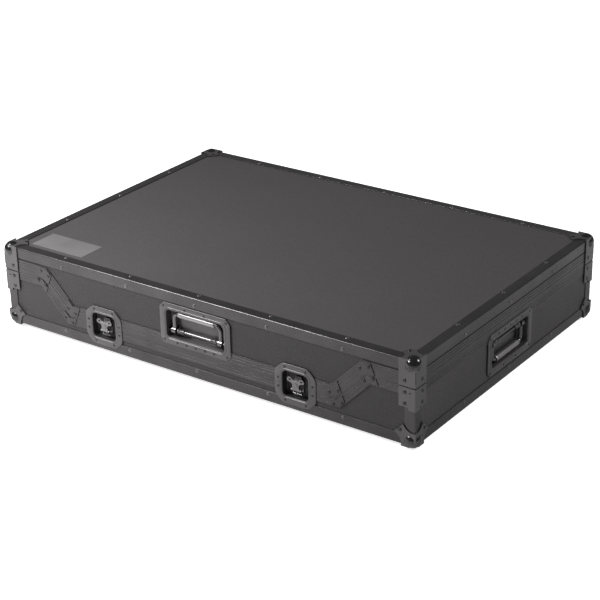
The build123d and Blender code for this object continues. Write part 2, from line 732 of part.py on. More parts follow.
def build_lining():
    """Foam on the floor, round the walls and under the lid, and the rubber feet."""
    x_foam = X_OUT - LINING_INSET
    y_foam = Y_OUT - LINING_INSET
    x_bay = x_foam - RAIL_THICK
    y_bay = y_foam - RAIL_THICK
    top = Z_SPLIT - RAIL_BELOW_SPLIT
    front_top = Z_SPLIT_FRONT - FRONT_RAIL_BELOW_SPLIT
    parts["base_foam_floor"] = span((-x_bay, -y_bay, Z_FLOOR), (x_bay, y_bay, Z_FLOOR + FLOOR_FOAM))
    rails = [
        span((-x_foam, -y_foam, Z_FLOOR), (x_foam, -y_bay - FIT, front_top)),
        span((-x_foam, y_bay + FIT, Z_FLOOR), (x_foam, y_foam, top)),
        span((-x_foam, -y_bay, Z_FLOOR), (-x_bay - FIT, y_bay, top)),
        span((x_bay + FIT, -y_bay, Z_FLOOR), (x_foam, y_bay, top)),
    ]
    parts["base_foam_rails"] = Compound(children=rails)
    parts["lid_foam"] = span((-x_foam, -y_foam, Z_ROOF - LID_FOAM), (x_foam, y_foam, Z_ROOF))
    foot = Pos(0, 0, FOOT_HEIGHT / 2) * Cone(FOOT_RADIUS, FOOT_TOP_RADIUS, FOOT_HEIGHT)
    x_foot = X_OUT - FOOT_INSET
    y_foot = Y_OUT - FOOT_INSET
    feet = [Pos(x, y, 0) * foot for x in (-x_foot, x_foot) for y in (-y_foot, y_foot)]
    parts["rubber_feet"] = Compound(children=feet)


def build_rivets():
    """The rivet heads that show on the edge angles and corner fittings."""
    faces = ("front", "back", "left", "right")
    base = []
    lid = []
    for face in faces:
        base += leg_rivets(face, Z_LOW + RIVET_FROM_EDGE)
        lid += leg_rivets(face, Z_TOP - RIVET_FROM_EDGE)
        base += flat_rivets(face, Z_LOW, False)
        lid += flat_rivets(face, Z_TOP, True)
    base += corner_rivets([BRACE_TOP - drop for drop in BRACE_RIVETS], BRACE_RIVET_IN)
    base += corner_rivets([LEAF_RIVET], LEAF_RIVET)
    base += leaf_rivets(Z_LOW - FITTING_SKIN, False)
    lid += corner_rivets([HEIGHT - LID_LEG_RIVET], BRACE_RIVET_IN)
    lid += joint_rivets(LID_BAND / 2)
    base += joint_rivets(-BASE_BAND / 2)
    lid += leaf_rivets(Z_TOP + FITTING_SKIN, True)
    parts["base_rivets"] = Compound(children=base)
    parts["lid_rivets"] = Compound(children=lid)


build_panels()
build_metalwork()
build_latches()
build_handles()
build_lining()
build_rivets()

os.makedirs("parts", exist_ok=True)
for name, shape in parts.items():
    export_step(shape, f"parts/{name}.step")
print(len(parts), "nodes written")
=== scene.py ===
# %% [markdown]
# # A black equipment flight case
#
# The case is a low box of laminated plywood, held at every edge by black anodised aluminium angles
# and at every corner by pressed steel ball corners. Two butterfly latches and a sprung handle sit
# in pressed dishes on its front, and there is a handle in each end. The frame gives every solid
# at its real size and place. This script gives each one its finish, and makes the pressed, bent
# and turned pieces again with the soft edges that the real ones have.

# %%
import json
from math import cos, pi, radians, sin, tan

import bmesh
import bpy
from mathutils import Matrix, Vector


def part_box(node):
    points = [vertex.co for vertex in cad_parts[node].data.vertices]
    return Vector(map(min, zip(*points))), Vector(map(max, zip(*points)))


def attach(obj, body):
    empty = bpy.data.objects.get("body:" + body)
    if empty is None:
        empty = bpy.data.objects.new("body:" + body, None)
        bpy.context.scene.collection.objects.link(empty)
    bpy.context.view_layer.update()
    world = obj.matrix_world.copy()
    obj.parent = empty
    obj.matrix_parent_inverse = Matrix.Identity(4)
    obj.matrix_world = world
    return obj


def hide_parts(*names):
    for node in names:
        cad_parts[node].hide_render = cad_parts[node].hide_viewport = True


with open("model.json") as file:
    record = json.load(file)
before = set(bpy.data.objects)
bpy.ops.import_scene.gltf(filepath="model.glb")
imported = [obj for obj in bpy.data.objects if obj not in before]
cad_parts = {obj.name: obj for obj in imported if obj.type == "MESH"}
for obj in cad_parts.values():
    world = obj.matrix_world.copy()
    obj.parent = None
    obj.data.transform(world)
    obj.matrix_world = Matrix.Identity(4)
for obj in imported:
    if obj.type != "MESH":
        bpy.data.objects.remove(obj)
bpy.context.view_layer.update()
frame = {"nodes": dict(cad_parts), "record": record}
record = frame["record"]
body_of = {node: body for body, nodes in record["behaviour"]["bodies"].items() for node in nodes}
slot_of = {part["node"]: part["material_slot"] for part in record["subparts"]}
MM = 0.001
print("frame nodes:", len(frame["nodes"]))

# %% [markdown]
# ## Where things are
#
# The fittings are bought parts that are let into the walls, so each is drawn once, as if it faced
# the viewer, and then turned on to its wall. The places of the latches and handles come from the
# frame's own nodes. The lowest point of each latch's cam lies a known drop under the parting
# line, so the cam tells where that line is. `on_wall` turns a drawing whose -Y side faces
# outwards on to one of the four walls.


# %%
def middle(node):
    """The centre of a node's box."""
    low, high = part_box(node)
    return (Vector(low) + Vector(high)) / 2


low_shell, high_shell = (Vector(corner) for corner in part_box("bottom_edge_angles"))
X_OUT = high_shell.x
Y_OUT = high_shell.y
Z_LOW = low_shell.z
Z_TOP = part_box("top_edge_angles")[1][2]
TURNS = {"front": 0, "right": 90, "back": 180, "left": -90}


def on_wall(wall, along, height):
    """The place of a drawing on a wall, its origin on the metal's outer face."""
    spots = {
        "front": (along, -Y_OUT),
        "back": (along, Y_OUT),
        "left": (-X_OUT, along),
        "right": (X_OUT, along),
    }
    x, y = spots[wall]
    return Matrix.Translation((x, y, height)) @ Matrix.Rotation(radians(TURNS[wall]), 4, "Z")


CAM_BELOW_SPLIT = 10.7 * MM
SPLIT_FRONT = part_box("front_left_latch_cam")[0][2] + CAM_BELOW_SPLIT
SPLIT_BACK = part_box("back_left_latch_cam")[0][2] + CAM_BELOW_SPLIT
LATCHES = {
    "front_left": on_wall("front", middle("front_left_latch_cam").x, SPLIT_FRONT),
    "front_right": on_wall("front", middle("front_right_latch_cam").x, SPLIT_FRONT),
    "back_left": on_wall("back", middle("back_left_latch_cam").x, SPLIT_BACK),
    "back_right": on_wall("back", middle("back_right_latch_cam").x, SPLIT_BACK),
}
upside_down = Matrix.Rotation(pi, 4, "Y")
FRONT_HANDLE = on_wall("front", 0, middle("front_handle_dish").z)
END_HANDLES = {side: on_wall(side, 0, middle("side_handle_dishes").z) for side in ("left", "right")}
print("parting line at", round(SPLIT_FRONT / MM, 1), "and", round(SPLIT_BACK / MM, 1), "mm")

# %% [markdown]
# ## Node helper
#
# Every finish below is a small shader tree. `add_node` adds one node, sets its properties and
# fills its inputs, with a constant or with the output of another node, so that each material
# reads as a short list of steps.


# %%
def linear(code):
    """A hex colour as the linear values that a shader wants."""
    channels = [int(code[start:start + 2], 16) / 255 for start in (1, 3, 5)]
    return (*(c / 12.92 if c <= 0.04045 else ((c + 0.055) / 1.055) ** 2.4 for c in channels), 1)


def add_node(tree, kind, inputs=None, **settings):
    """Adds a node, with its settings and its inputs."""
    node = tree.nodes.new(kind)
    for name, value in settings.items():
        setattr(node, name, value)
    for name, value in (inputs or {}).items():
        if isinstance(value, bpy.types.NodeSocket):
            tree.links.new(value, node.inputs[name])
        else:
            node.inputs[name].default_value = value
    return node


def new_finish(name, **constants):
    """An empty material with a shader whose plain values are set."""
    finish = bpy.data.materials.new(name)
    finish.use_nodes = True
    shader = finish.node_tree.nodes["Principled BSDF"]
    for socket, value in constants.items():
        shader.inputs[socket.replace("_", " ")].default_value = value
    return finish, finish.node_tree, shader


def place_in_mm(tree):
    """The point on the piece, in millimetres."""
    where = add_node(tree, "ShaderNodeTexCoord").outputs["Object"]
    factors = {0: where, 1: (1 / MM,) * 3}
    return add_node(tree, "ShaderNodeVectorMath", factors, operation="MULTIPLY").outputs[0]


def noise(tree, where, size, detail=3.0):
    """Cloudy noise whose blotches are about size millimetres across."""
    settings = {"Vector": where, "Scale": 1 / size, "Detail": detail, "Roughness": 0.5}
    return add_node(tree, "ShaderNodeTexNoise", settings).outputs["Fac"]


def ramp(tree, value, low, high, from_low=0.3, from_high=0.7):
    """Maps a value to a range."""
    ends = {"From Min": from_low, "From Max": from_high, "To Min": low, "To Max": high}
    return add_node(tree, "ShaderNodeMapRange", {"Value": value, **ends}).outputs["Result"]


def blend(tree, factor, first, second):
    """Mixes two colours, each given as a hex code."""
    node = add_node(tree, "ShaderNodeMix", data_type="RGBA")
    tree.links.new(factor, node.inputs[0])
    node.inputs[6].default_value = linear(first)
    node.inputs[7].default_value = linear(second)
    return node.outputs[2]


def emboss(tree, shader, height, depth):
    """Raises the surface by a height from 0 to 1, depth millimetres deep."""
    settings = {"Height": height, "Distance": depth * MM, "Strength": 1.0}
    bump = add_node(tree, "ShaderNodeBump", settings)
    tree.links.new(bump.outputs[0], shader.inputs["Normal"])


# %% [markdown]
# ## Laminate
#
# The panels are plywood under a black plastic film, pressed with a fine honeycomb of raised
# dots, about 4 mm apart. Three sets of waves at 60 degrees add up to that honeycomb. The waves
# need the two directions that lie in the board, so the top, the long walls and the ends each
# get their own turn of the same film. The long walls get darker colours that lie closer
# together, which is painted shade: the same film, made darker and almost plain there. A small
# random speckle stops the dots from looking printed, and a broad, faint cloudiness in the shine
# is dust and handling.

# %%
DOT_PITCH = 3.9
SPECKLE = 3.2
CLOUD = 140
FILM_DEPTH = 0.14


def film(name, across, up, dark="#363435", light="#4e4c4d"):
    """Black embossed film, its pattern lying along two directions."""
    finish, tree, shader = new_finish(name, IOR=1.4)
    where = place_in_mm(tree)
    total = None
    for step in range(3):
        turn = radians(60 * step)
        wave = [2 * pi / DOT_PITCH * (a * cos(turn) + b * sin(turn)) for a, b in zip(across, up)]
        phase = add_node(tree, "ShaderNodeVectorMath", {0: where, 1: wave}, operation="DOT_PRODUCT")
        ripple = add_node(tree, "ShaderNodeMath", {0: phase.outputs["Value"]}, operation="COSINE")
        if total is None:
            total = ripple.outputs[0]
        else:
            total = add_node(tree, "ShaderNodeMath", {0: total, 1: ripple.outputs[0]}).outputs[0]
    dots = ramp(tree, total, 0, 1, -1.2, 1.6)
    speckle = noise(tree, where, SPECKLE, 2)
    cloud = noise(tree, where, CLOUD)
    tree.links.new(ramp(tree, cloud, 0.58, 0.70), shader.inputs["Roughness"])
    height = add_node(tree, "ShaderNodeMath", {0: dots, 1: speckle}, operation="ADD").outputs[0]
    colour = blend(tree, ramp(tree, height, 0, 1, 0.3, 1.7), dark, light)
    tree.links.new(colour, shader.inputs["Base Color"])
    emboss(tree, shader, height, FILM_DEPTH)
    return finish


LENGTH, WIDE, TALL = (1, 0, 0), (0, 1, 0), (0, 0, 1)
film_flat = film("black honeycomb film on top", LENGTH, WIDE)
# The long walls' darker colours are painted shade on the same film.
film_long_painted_shade = film("black honeycomb film on long walls with painted shade", LENGTH, TALL, "#292728", "#383637")
film_ends = film("black honeycomb film on ends", WIDE, TALL)
print("three turns of the film")

# %% [markdown]
# ## Metals, rubber and foam
#
# The angles and rims are drawn aluminium with a black anodised skin: satin, with fine lines
# along the draw. Stretching the noise along the piece gives those lines. The balls of the
# corners are steel under glossy black lacquer. Their leaves, the braces, dishes and latches are
# steel with a duller black zinc coat that has a fine grain. Down in the latch wells the same
# coat is painted much darker, as painted shade. The handle's bar is polished before it is
# blackened, so it shines. The grip sleeve is moulded, but the photograph shows it with a broad,
# metal-like sheen, so it is shaded as a satin metal.


# %%
def metal(name, dark, light, rough, metallic, stretch=(1, 1, 1), grain=0.6, depth=0.01):
    """A blackened metal with a fine grain, stretched along its draw, and faint cloudiness."""
    finish, tree, shader = new_finish(name, Metallic=metallic, IOR=1.6)
    where = place_in_mm(tree)
    drawn = add_node(tree, "ShaderNodeVectorMath", {0: where, 1: stretch}, operation="MULTIPLY")
    fine = noise(tree, drawn.outputs[0], grain, 2)
    cloud = noise(tree, where, 60, 4)
    tree.links.new(blend(tree, ramp(tree, cloud, 0, 1), dark, light), shader.inputs["Base Color"])
    tree.links.new(ramp(tree, fine, rough - 0.05, rough + 0.06), shader.inputs["Roughness"])
    emboss(tree, shader, fine, depth)
    return finish


def polymer(name, dark, light, rough, cell, depth):
    """Rubber or foam: a dull plastic with small cells or grain."""
    finish, tree, shader = new_finish(name, Roughness=rough, IOR=1.45)
    where = place_in_mm(tree)
    cells = add_node(tree, "ShaderNodeTexVoronoi", {"Vector": where, "Scale": 1 / cell})
    tree.links.new(blend(tree, cells.outputs["Distance"], dark, light), shader.inputs["Base Color"])
    emboss(tree, shader, cells.outputs["Distance"], depth)
    return finish


ALONG_X = (0.02, 1, 1)
ALONG_Y = (1, 0.02, 1)
anodised = ("#3d3b3c", "#484647", 0.30, 0.75)
anodised_x = metal("black anodised aluminium, drawn along", *anodised, ALONG_X)
anodised_y = metal("black anodised aluminium, drawn across", *anodised, ALONG_Y)
lacquer = metal("glossy black lacquered steel", "#0b0b0b", "#121111", 0.19, 0.0, depth=0.002)
coarse = {"grain": 0.9, "depth": 0.02}
zinc = metal("black zinc pressed steel", "#4b494a", "#565455", 0.42, 0.55, **coarse)
# Painted shade: the same zinc, much darker, for the faces down in the latch wells.
well_painted_shade = metal("black zinc with painted shade in the latch well", "#171616", "#1f1e1e", 0.55, 0.2, **coarse)
fine = {"grain": 0.7, "depth": 0.015}
latch_zinc = metal("black zinc latch steel", "#686667", "#747273", 0.36, 0.6, **fine)
smooth = {"grain": 0.5, "depth": 0.003}
polished = metal("blackened polished steel", "#5a5859", "#686667", 0.20, 0.85, **smooth)
# The angle rivets' lighter grey is a painted highlight.
rivet_painted_highlight = metal("rivet steel lightened as painted highlight", "#4f4d4e", "#5f5d5e", 0.32, 0.6, depth=0.004)
rivet_black = metal("black plated rivet steel", "#1e1d1d", "#2b2a2a", 0.24, 0.5, depth=0.004)
brushed = metal("brushed grey aluminium plate", "#6b696a", "#777576", 0.5, 0.4, (0.03, 1, 1))
soft_grain = {"grain": 1.2, "depth": 0.004}
grip_satin = metal("satin moulded grip sleeve", "#8a8889", "#969495", 0.36, 0.9, **soft_grain)
foot_rubber = polymer("black rubber foot", "#131314", "#1e1e1f", 0.75, 0.9, 0.08)
foam = polymer("charcoal closed cell foam", "#1d1d1f", "#303033", 0.9, 1.3, 0.25)
print("materials:", len(bpy.data.materials))

# %% [markdown]
# ## Putting a piece in the frame
#
# `keep` ties a finished mesh to the frame: it hides the nodes that the piece stands for and ties
# the piece to the body it moves with. `soften` bevels sharp edges, because a cut and deburred
# edge catches a thin line of light, and one without it looks like cardboard.
# `join_loops` lays a skin over loops of points, which is how most pieces below are built.


# %%
BEVEL_ANGLE = 30
SMOOTH_ANGLE = 35


def soften(piece, width, segments=2):
    """Rounds the sharp edges of a piece."""
    bevel = piece.modifiers.new("deburred edges", "BEVEL")
    bevel.width = width
    bevel.segments = segments
    bevel.limit_method = "ANGLE"
    bevel.angle_limit = radians(BEVEL_ANGLE)
    bevel.harden_normals = True


def smooth_by_angle(mesh):
    """Shades a mesh smooth, apart from its sharp edges."""
    mesh.polygons.foreach_set("use_smooth", [True] * len(mesh.polygons))
    bm = bmesh.new()
    bm.from_mesh(mesh)
    for edge in bm.edges:
        gentle = edge.calc_face_angle(0) < radians(SMOOTH_ANGLE)
        edge.smooth = len(edge.link_faces) == 2 and gentle
    bm.to_mesh(mesh)
    bm.free()


def keep(name, mesh, finish, body, slot, *nodes):
    """Makes an object of a mesh that rides on a body, in place of any nodes that are named."""
    mesh.materials.clear()
    mesh.materials.append(finish)
    smooth_by_angle(mesh)
    piece = bpy.data.objects.new(name, mesh)
    bpy.context.scene.collection.objects.link(piece)
    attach(piece, body)
    if nodes:
        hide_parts(*nodes)
    return piece


def join_loops(bm, loops):
    """Joins loops with equally many points, each to the next, with a band of faces."""
    for near, far in zip(loops, loops[1:]):
        for index in range(len(near)):
            other = (index + 1) % len(near)
            bm.faces.new((near[index], near[other], far[other], far[index]))


def mesh_from(bm, name):
    """Turns the working mesh into mesh data, its faces looking outwards."""
    bmesh.ops.recalc_face_normals(bm, faces=bm.faces)
    mesh = bpy.data.meshes.new(name)
    bm.to_mesh(mesh)
    bm.free()
    return mesh


# %% [markdown]
# ## Boards, angles and rims
#
# These are flat or straight pieces: sawn boards, and lengths of drawn aluminium cut to a mitre.
# Their solids already have the right section, so each is copied, its triangles are merged into
# the real flat faces, and a fine bevel is laid along the edges.


# %%
WELD = 0.002 * MM


def dressed(node, finish, width):
    """A copy of a node's solid with merged faces and deburred edges."""
    bm = bmesh.new()
    bm.from_mesh(frame["nodes"][node].data)
    bmesh.ops.remove_doubles(bm, verts=bm.verts, dist=WELD)
    bmesh.ops.dissolve_limit(bm, angle_limit=radians(1), verts=bm.verts, edges=bm.edges)
    mesh = mesh_from(bm, node)
    piece = keep(f"{node}_finished", mesh, finish, body_of[node], slot_of[node], node)
    soften(piece, width)
    return piece


BOARDS = {
    "top": film_flat,
    "floor": film_flat,
    "front": film_long_painted_shade,
    "back": film_long_painted_shade,
    "left": film_ends,
    "right": film_ends,
}
for node in frame["nodes"]:
    if node.endswith("_panel"):
        dressed(node, BOARDS[node.split("_")[1]], 0.3 * MM)
    elif node.endswith("_rim"):
        drawn = anodised_x if node.split("_")[1] in ("front", "back") else anodised_y
        dressed(node, drawn, 0.12 * MM)
    elif node.endswith("edge_angles") or node == "corner_posts":
        dressed(node, anodised_x, 0.35 * MM)
    elif node.endswith(("braces", "joint_plates")):
        dressed(node, zinc if node.endswith("braces") else anodised_x, 0.35 * MM)
    elif node.endswith(("_hook", "_cam")) or node in ("latch_bearers", "latch_keepers"):
        dressed(node, latch_zinc, 0.25 * MM)
    elif node == "rubber_feet":
        dressed(node, foot_rubber, 1.5 * MM)
    elif node.endswith(("handle_pivot", "handle_pivots")):
        dressed(node, polished, 0.3 * MM)

# %% [markdown]
# ## Ball corners
#
# A ball corner is one pressing: three flared leaves that are riveted to the walls, and a hollow
# ball that takes the knocks. The leaves are the frame's own solid. The ball is made again with a
# fine mesh, because its highlight would show every facet. The solid's own ball has nearly the
# same size, and two surfaces in one place would flicker, so it is drawn in under the fine one.

# %%
BALL_RADIUS = 14.44 * MM
BALL_INSET = 9 * MM
BALL_TOLERANCE = 0.15 * MM
BALL_SINK = 0.4 * MM


def ball_centres(height, up):
    """The middles of the four balls at the top or the bottom."""
    across, deep, level = X_OUT - BALL_INSET, Y_OUT - BALL_INSET, height - up * BALL_INSET
    return [Vector((x * across, y * deep, level)) for x in (-1, 1) for y in (-1, 1)]


def sink_balls(mesh, centres):
    """Draws the solid's own coarse balls in by a hair, so that only the fine ones show."""
    for vertex in mesh.vertices:
        for spoke in (vertex.co - centre for centre in centres):
            if abs(spoke.length - BALL_RADIUS) < BALL_TOLERANCE:
                vertex.co -= spoke.normalized() * BALL_SINK


for half, height, up, body in (("base", Z_LOW, -1, "base"), ("lid", Z_TOP, 1, "lid")):
    node = f"{half}_ball_corners"
    centres = ball_centres(height, up)
    sink_balls(dressed(node, zinc, 0.3 * MM).data, centres)
    bm = bmesh.new()
    for centre in centres:
        ball = {"radius": BALL_RADIUS, "matrix": Matrix.Translation(centre)}
        bmesh.ops.create_uvsphere(bm, u_segments=48, v_segments=32, **ball)
    keep(f"{half}_corner_balls", mesh_from(bm, "balls"), lacquer, body, slot_of[node])
print("eight balls, radius in mm:", round(BALL_RADIUS / MM, 2))

# %% [markdown]
# The lid's corners have two long legs that are folded from one sheet. Below the ball the fold is
# left open, and this seam shows as a dark line down the edge. That line is painted shade: a thin
# dark bar sunk into the edge, in the dull finish of the rubber feet, because a gap in shadow has
# no shine.

# %%
LEAF_SKIN = 2 * MM
SEAM_RANGE = (17 * MM, 37 * MM)
SEAM_RADIUS = 0.5 * MM
EDGE_IN = 0.55 * MM


def add_rod(bm, start, end, radius, around=12):
    """Adds a round bar between two points."""
    run = end - start
    turned = run.to_track_quat("Z", "Y").to_matrix().to_4x4()
    matrix = Matrix.Translation((start + end) / 2) @ turned
    size = {"cap_ends": True, "segments": around, "radius1": radius, "radius2": radius}
    bmesh.ops.create_cone(bm, depth=run.length, matrix=matrix, **size)


bm = bmesh.new()
reach = LEAF_SKIN - EDGE_IN
for x_side in (-1, 1):
    for y_side in (-1, 1):
        x, y = x_side * (X_OUT + reach), y_side * (Y_OUT + reach)
        add_rod(bm, *[Vector((x, y, Z_TOP - drop)) for drop in SEAM_RANGE], SEAM_RADIUS)
keep("lid_corner_seam_painted_shade", mesh_from(bm, "seams"), foot_rubber, "lid", "corner_metal")
print("four seams")

# %% [markdown]
# ## Pressed dishes
#
# A dish starts as a flat steel plate with cut corners. The press draws a well into it, so the
# metal rolls over a soft lip, runs down a steep wall and turns into the floor through a fillet.
# Each of these is a ring of points at its own depth, and the skin between the rings is the
# pressing. All rings have the same number of points, corner by corner, so that the skin has no
# twist in it.

# %%
CORNER_POINTS = 10


def ring(width, height, corner, cut=0.0):
    """A rectangle's points in X and Z, its corners round, or cut and round."""
    quarter = []
    if cut:
        pull = corner * tan(radians(22.5))
        first = (width / 2 - corner, height / 2 - cut - pull)
        second = (width / 2 - cut - pull, height / 2 - corner)
    else:
        first = second = (width / 2 - corner, height / 2 - corner)
    for step in range(CORNER_POINTS):
        share = step / (CORNER_POINTS - 1)
        turn = radians(90 * share)
        centre = first if share < 0.5 else second
        quarter.append((centre[0] + corner * cos(turn), centre[1] + corner * sin(turn)))
    mirrored = [(-x, z) for x, z in reversed(quarter)]
    half = quarter + mirrored
    return half + [(-x, -z) for x, z in half]


def skin(bm, place, rings):
    """Joins rings of (points, depth) with faces, and fills the last one."""
    loops = []
    for points, depth in rings:
        loops.append([bm.verts.new(place @ Vector((x, depth, z))) for x, z in points])
    join_loops(bm, loops)
    bm.faces.new(loops[-1])


PLATE_THICK = 1.4 * MM
LIP = 0.9 * MM
FLOOR_FILLET = 2.2 * MM
EDGE_ROUND = 0.45 * MM
EDGE_DROP = 0.13 * MM
BEAD_SLOPE = 0.5 * MM
WALL_LEAN = 0.3 * MM
LEAST_CORNER = 1.5 * MM


def dish_rings(plate, cut, plate_round, well, corner, depth, bead):
    """The rings of a dish, from the plate's back edge over its face and down to the floor."""
    width, height = plate
    wide, tall = well
    face = -PLATE_THICK
    turned_edge = (
        (0, 0),
        (0, EDGE_ROUND + face),
        (EDGE_ROUND, EDGE_DROP + face),
        (2 * EDGE_ROUND, face),
    )
    rings = []
    for less, level in turned_edge:
        rings.append((ring(width - less, height - less, plate_round, cut), level))
    far, near, proud = bead
    ridge = ((far, 0), (far - BEAD_SLOPE, proud), (near + BEAD_SLOPE, proud), (near, 0))
    for out, rise in ridge:
        rings.append((ring(wide + 2 * out, tall + 2 * out, corner + out), face - rise))
    for step in range(5):
        turn = radians(90 * step / 4)
        out = LIP * (1 - sin(turn))
        points = ring(wide + 2 * out, tall + 2 * out, corner + out)
        rings.append((points, face + LIP * (1 - cos(turn))))
    for step in range(6):
        turn = radians(90 * step / 5)
        inward = WALL_LEAN + FLOOR_FILLET * (1 - cos(turn))
        sunk = depth - FLOOR_FILLET * (1 - sin(turn))
        inner = max(corner - inward, LEAST_CORNER)
        rings.append((ring(wide - 2 * inward, tall - 2 * inward, inner), sunk))
    return rings


# %% [markdown]
# ## Rivets
#
# The rivets on the case are drive rivets with low domed heads. `dome` adds one head that looks
# along -Y, so it can be turned on to any wall with the same places that the fittings use.

# %%
DOME_POINTS, DOME_ROWS = 20, 5


def dome(bm, place, size):
    """Adds a low domed head that looks along -Y."""
    radius, height = size
    loops = []
    for row in range(DOME_ROWS):
        lean = radians(90 * row / DOME_ROWS)
        tip = Vector((0, -height * sin(lean), 0))
        loop = []
        for step in range(DOME_POINTS):
            turn = 2 * pi * step / DOME_POINTS
            spoke = Vector((cos(turn), 0, sin(turn))) * radius * cos(lean)
            loop.append(bm.verts.new(place @ (spoke + tip)))
        loops.append(loop)
    join_loops(bm, loops)
    bm.faces.new(loops[-1])


def rivet_heads(name, body, places, size):
    """One object with a domed head at each place."""
    bm = bmesh.new()
    for place in places:
        dome(bm, place, size)
    keep(name, mesh_from(bm, name), rivet_black, body, "rivet")


# %% [markdown]
# The heads on the angles and corner fittings are the frame's own low eight-sided solids, one
# for each real rivet. A domed head is laid over each of those: the solid's loose parts are found
# by walking its mesh, and its thinnest direction says which way the dome looks. The rivets on
# the angles catch the light in the photograph, so they get a lighter grey as a painted
# highlight, and those on the fittings stay black, so there are two finishes. Both kinds keep
# the place of the frame's rivets.


# %%
def loose_parts(mesh):
    """The separate shells of a mesh, as lists of points."""
    bm = bmesh.new()
    bm.from_mesh(mesh)
    bmesh.ops.remove_doubles(bm, verts=bm.verts, dist=WELD)
    seen = set()
    shells = []
    for start in bm.verts:
        if start in seen:
            continue
        seen.add(start)
        queue = [start]
        shell = []
        while queue:
            vert = queue.pop()
            shell.append(vert.co.copy())
            for edge in vert.link_edges:
                other = edge.other_vert(vert)
                if other not in seen:
                    seen.add(other)
                    queue.append(other)
        shells.append(shell)
    bm.free()
    return shells


def head_place(points):
    """The place on a rivet's seat, turned so that -Y looks outwards."""
    low = Vector(min(point[axis] for point in points) for axis in range(3))
    high = Vector(max(point[axis] for point in points) for axis in range(3))
    size = high - low
    thin = min(range(3), key=lambda axis: size[axis])
    centre = (low + high) / 2
    box_middle = (Z_LOW + Z_TOP) / 2
    out = Vector((0, 0, 0))
    out[thin] = 1 if (centre[thin] - (box_middle if thin == 2 else 0)) > 0 else -1
    seat = centre - out * size[thin] / 2
    return Matrix.Translation(seat) @ out.to_track_quat("-Y", "Z").to_matrix().to_4x4()


def seat_spots(node):
    """The places of all the rivets in a node."""
    return [head_place(points) for points in loose_parts(frame["nodes"][node].data)]


def on_an_angle(spot):
    """Whether a rivet sits on an edge angle rather than on a corner fitting or a joint plate."""
    x, y, z = (abs(value) for value in spot.translation)
    on_corner = X_OUT - x < CORNER_REACH and Y_OUT - y < CORNER_REACH
    return not on_corner and (z - Z_LOW < ANGLE_LEG or Z_TOP - z < ANGLE_LEG)


HEAD = (3.7 * MM, 1.25 * MM)
CORNER_REACH = 45 * MM
ANGLE_LEG = 20 * MM
for node in ("base_rivets", "lid_rivets"):
    spots = seat_spots(node)
    for kind, finish in ((True, rivet_painted_highlight), (False, rivet_black)):
        bm = bmesh.new()
        for spot in spots:
            if on_an_angle(spot) == kind:
                dome(bm, spot, HEAD)
        name = f"{node}_domed_on_{'angles' if kind else 'fittings'}"
        keep(name, mesh_from(bm, name), finish, body_of[node], slot_of[node], node)
    print(node, len(spots))

# %% [markdown]
# ## Latch dishes
#
# The latch's plate is an octagon, cut through at the parting line: the upper half goes with the
# lid and carries the keeper, and the lower half stays with the base. The whole dish is drawn
# and then cut with a plane, so that both halves have the same pressing. Everything behind the
# wall's face gets the darker finish, as painted shade, because the photograph shows the well
# nearly black.

# %%
LATCH_PLATE = (83 * MM, 74 * MM)
LATCH_WELL = (53 * MM, 47 * MM)
LATCH_DEPTH = 12.5 * MM
SPLIT_GAP = 0.3 * MM
LATCH_BEAD = (4.2 * MM, 1.6 * MM, 0.55 * MM)
LATCH_CUT = 15 * MM
LATCH_ROUND = 16 * MM
LATCH_CORNER = 9 * MM
WELL_SHADE_FROM = 0.5 * MM


def half_dish(bm, place, upper):
    """Adds the upper or lower half of one latch dish."""
    single = bmesh.new()
    outside = (LATCH_PLATE, LATCH_CUT, LATCH_ROUND)
    inside = (LATCH_WELL, LATCH_CORNER, LATCH_DEPTH)
    skin(single, Matrix.Identity(4), dish_rings(*outside, *inside, LATCH_BEAD))
    everything = single.verts[:] + single.edges[:] + single.faces[:]
    cut_at = Vector((0, 0, 0 if upper else -SPLIT_GAP))
    away = Vector((0, 0, -1 if upper else 1))
    plane = {"plane_co": cut_at, "plane_no": away, "clear_outer": True}
    bmesh.ops.bisect_plane(single, geom=everything, **plane)
    bmesh.ops.transform(single, matrix=place, verts=single.verts)
    part = bpy.data.meshes.new("half dish")
    single.to_mesh(part)
    single.free()
    bm.from_mesh(part)
    bpy.data.meshes.remove(part)


def paint_shade_in_wells(mesh, depth):
    """Gives the faces deeper than a depth behind the front or back wall the darker finish of
    painted shade.
    """
    mesh.materials.append(well_painted_shade)
    for face in mesh.polygons:
        if Y_OUT - abs(face.center.y) > depth:
            face.material_index = 1


for upper, node in ((True, "latch_lid_dishes"), (False, "latch_base_dishes")):
    bm = bmesh.new()
    for place in LATCHES.values():
        half_dish(bm, place, upper)
    mesh = mesh_from(bm, node)
    keep(f"{node}_pressed", mesh, zinc, body_of[node], slot_of[node], node)
    paint_shade_in_wells(mesh, WELL_SHADE_FROM)
print("latch dishes pressed")

# %% [markdown]
# Eight small rivets hold each latch plate, two on every side. The braces on the base's corners
# have one small rivet of their own, close to the upright edge.

# %%
PLATE_FACE = -1.4 * MM
SIDE_SPOTS = [(35 * MM, 8 * MM), (21 * MM, 31 * MM)]
SMALL_HEAD = (2.5 * MM, 0.8 * MM)
BRACE_SPOT = (431 * MM, 96 * MM)
BRACE_HEAD = (1.9 * MM, 0.7 * MM)


def face_spots(place, spots):
    """Places on a fitting's face plate."""
    return [place @ Matrix.Translation((x, PLATE_FACE, z)) for x, z in spots]


for body, sign in (("lid", 1), ("base", -1)):
    spots = [(side * x, sign * z) for x, z in SIDE_SPOTS for side in (-1, 1)]
    places = [spot for place in LATCHES.values() for spot in face_spots(place, spots)]
    rivet_heads(f"latch_plate_rivets_{body}", body, places, SMALL_HEAD)
along, height = BRACE_SPOT
on_brace = Matrix.Translation((0, -LEAF_SKIN, 0))
places = []
for wall in ("front", "back"):
    places += [on_wall(wall, side * along, Z_LOW + height) @ on_brace for side in (-1, 1)]
rivet_heads("brace_small_rivets", "base", places, BRACE_HEAD)
print("latch plate rivets:", 8 * len(LATCHES))

